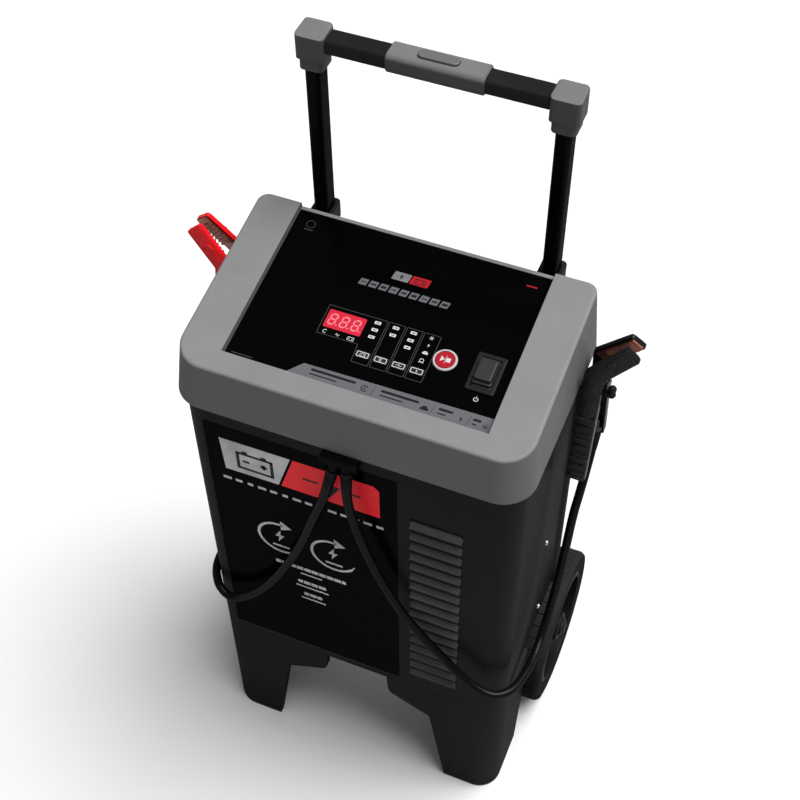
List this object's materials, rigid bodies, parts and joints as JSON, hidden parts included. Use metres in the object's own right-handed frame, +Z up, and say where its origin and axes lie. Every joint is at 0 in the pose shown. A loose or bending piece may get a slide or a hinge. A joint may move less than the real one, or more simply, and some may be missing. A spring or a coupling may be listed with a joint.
{
  "type": "battery charger",
  "caption": "Upright wheeled charger and engine starter for vehicle batteries with a sloped control panel, pull-out handle, side-parked clamps and louvred black cabinet.",
  "frame": {"origin": "on the floor at the centre of the footprint", "axes": "+Z up, +Y to the back where the handle and wheels are, +X to the right as seen from the front"},
  "size_m": [0.4798, 0.3223, 0.912],
  "materials": {
    "grey_plastic": "fine matt texture",
    "black_plastic": "fine matt texture",
    "panel_gloss": "gloss printed film",
    "label_gloss": "gloss printed label",
    "dark_plastic": "satin moulding",
    "display_red": "lit red segments",
    "display_window": "tinted red window",
    "button_red": "gloss",
    "button_ring": "polished ring",
    "tube_black": "satin black paint",
    "steel": "zinc plated",
    "wheel_plastic": "fine matt texture",
    "tyre_rubber": "moulded rubber",
    "lead_rubber": "smooth cable jacket",
    "clamp_black": "moulded grip",
    "clamp_red": "moulded grip",
    "copper_jaw": "copper plated",
    "core_steel": "laminated core",
    "board": "board with finned heat sink",
    "foot_rubber": "moulded rubber"
  },
  "bodies": {
    "chassis": {"head_frame": "grey_plastic", "control_panel": "black_plastic", "panel_overlay": "panel_gloss", "display_module": "dark_plastic", "display_digits": "display_red", "display_lens": "display_window", "cabinet_shell": "black_plastic", "front_label_plate": "label_gloss", "rear_shell": "black_plastic", "base_plinth": "black_plastic", "left_foot_pad": "foot_rubber", "right_foot_pad": "foot_rubber", "start_button_ring": "button_ring", "rocker_housing": "dark_plastic", "left_outer_tube": "tube_black", "right_outer_tube": "tube_black", "tube_brackets": "tube_black", "tube_collars": "dark_plastic", "wheel_axle": "steel", "axle_caps": "steel", "cable_gland": "dark_plastic", "black_lead": "lead_rubber", "red_lead": "lead_rubber", "clamp_hooks": "dark_plastic", "black_clamp_rear_arm": "clamp_black", "black_clamp_jaws_rear": "copper_jaw", "red_clamp_rear_arm": "clamp_red", "red_clamp_jaws_rear": "copper_jaw", "clamp_pivots": "steel", "transformer": "core_steel", "power_board": "board", "cooling_fan_frame": "dark_plastic", "mains_inlet": "dark_plastic", "shell_screws": "steel"},
    "start_button": {"start_stop_button": "button_red"},
    "power_switch": {"power_rocker": "dark_plastic"},
    "mode_key_1": {"mode_button_1": "dark_plastic"},
    "mode_key_2": {"mode_button_2": "dark_plastic"},
    "mode_key_3": {"mode_button_3": "dark_plastic"},
    "mode_key_4": {"mode_button_4": "dark_plastic"},
    "handle": {"left_inner_tube": "tube_black", "right_inner_tube": "tube_black", "left_corner_hub": "grey_plastic", "right_corner_hub": "grey_plastic", "cross_bar": "tube_black", "centre_grip": "grey_plastic"},
    "release": {"release_button": "dark_plastic"},
    "left_latch": {"left_latch_pin": "steel"},
    "right_latch": {"right_latch_pin": "steel"},
    "left_wheel": {"left_wheel_rim": "wheel_plastic", "left_tyre": "tyre_rubber"},
    "right_wheel": {"right_wheel_rim": "wheel_plastic", "right_tyre": "tyre_rubber"},
    "black_clamp_lever": {"black_clamp_front_arm": "clamp_black", "black_clamp_jaws_front": "copper_jaw"},
    "red_clamp_lever": {"red_clamp_front_arm": "clamp_red", "red_clamp_jaws_front": "copper_jaw"},
    "fan": {"fan_rotor": "dark_plastic"}
  },
  "joints": [
    {"name": "handle_slide", "type": "slide", "parent": "chassis", "child": "handle", "axis": [0, 0, 1], "range_m": [-0.148, 0]},
    {"name": "release_press", "type": "slide", "parent": "handle", "child": "release", "axis": [0, 0, 1], "range_m": [-0.003, 0], "stiffness_N_per_m": 500, "springref_m": 0.001},
    {"name": "left_latch_slide", "type": "slide", "parent": "handle", "child": "left_latch", "axis": [-1, 0, 0], "range_m": [0, 0.0045]},
    {"name": "right_latch_slide", "type": "slide", "parent": "handle", "child": "right_latch", "axis": [1, 0, 0], "range_m": [0, 0.0045]},
    {"name": "start_press", "type": "slide", "parent": "chassis", "child": "start_button", "axis": [0, -0.1616, 0.9869], "range_m": [-0.0015, 0], "stiffness_N_per_m": 500, "springref_m": 0.0005},
    {"name": "mode_press_1", "type": "slide", "parent": "chassis", "child": "mode_key_1", "axis": [0, -0.1616, 0.9869], "range_m": [-0.0008, 0], "stiffness_N_per_m": 400, "springref_m": 0.0004},
    {"name": "mode_press_2", "type": "slide", "parent": "chassis", "child": "mode_key_2", "axis": [0, -0.1616, 0.9869], "range_m": [-0.0008, 0], "stiffness_N_per_m": 400, "springref_m": 0.0004},
    {"name": "mode_press_3", "type": "slide", "parent": "chassis", "child": "mode_key_3", "axis": [0, -0.1616, 0.9869], "range_m": [-0.0008, 0], "stiffness_N_per_m": 400, "springref_m": 0.0004},
    {"name": "mode_press_4", "type": "slide", "parent": "chassis", "child": "mode_key_4", "axis": [0, -0.1616, 0.9869], "range_m": [-0.0008, 0], "stiffness_N_per_m": 400, "springref_m": 0.0004},
    {"name": "power_rock", "type": "hinge", "parent": "chassis", "child": "power_switch", "pos_m": [0.1105, -0.05412, 0.68397], "axis": [1, 0, 0], "range_deg": [-14, 0]},
    {"name": "left_wheel_spin", "type": "hinge", "parent": "chassis", "child": "left_wheel", "pos_m": [-0.181, 0.0593, 0.1], "axis": [1, 0, 0], "continuous": true},
    {"name": "right_wheel_spin", "type": "hinge", "parent": "chassis", "child": "right_wheel", "pos_m": [0.181, 0.0593, 0.1], "axis": [1, 0, 0], "continuous": true},
    {"name": "black_clamp_open", "type": "hinge", "parent": "chassis", "child": "black_clamp_lever", "pos_m": [0.2, 0.0253, 0.627], "axis": [1, 0, 0], "range_deg": [0, 26], "stiffness_Nm_per_rad": 1.2, "springref_deg": -14.32},
    {"name": "red_clamp_open", "type": "hinge", "parent": "chassis", "child": "red_clamp_lever", "pos_m": [-0.2, 0.0253, 0.627], "axis": [1, 0, 0], "range_deg": [0, 26], "stiffness_Nm_per_rad": 1.2, "springref_deg": -14.32},
    {"name": "fan_spin", "type": "hinge", "parent": "chassis", "child": "fan", "pos_m": [0, 0.0573, 0.48], "axis": [0, 1, 0], "continuous": true}
  ],
  "couplings": [
    {"joint": "left_latch_slide", "follows": "release_press", "ratio": -1.5},
    {"joint": "right_latch_slide", "follows": "release_press", "ratio": -1.5}
  ]
}
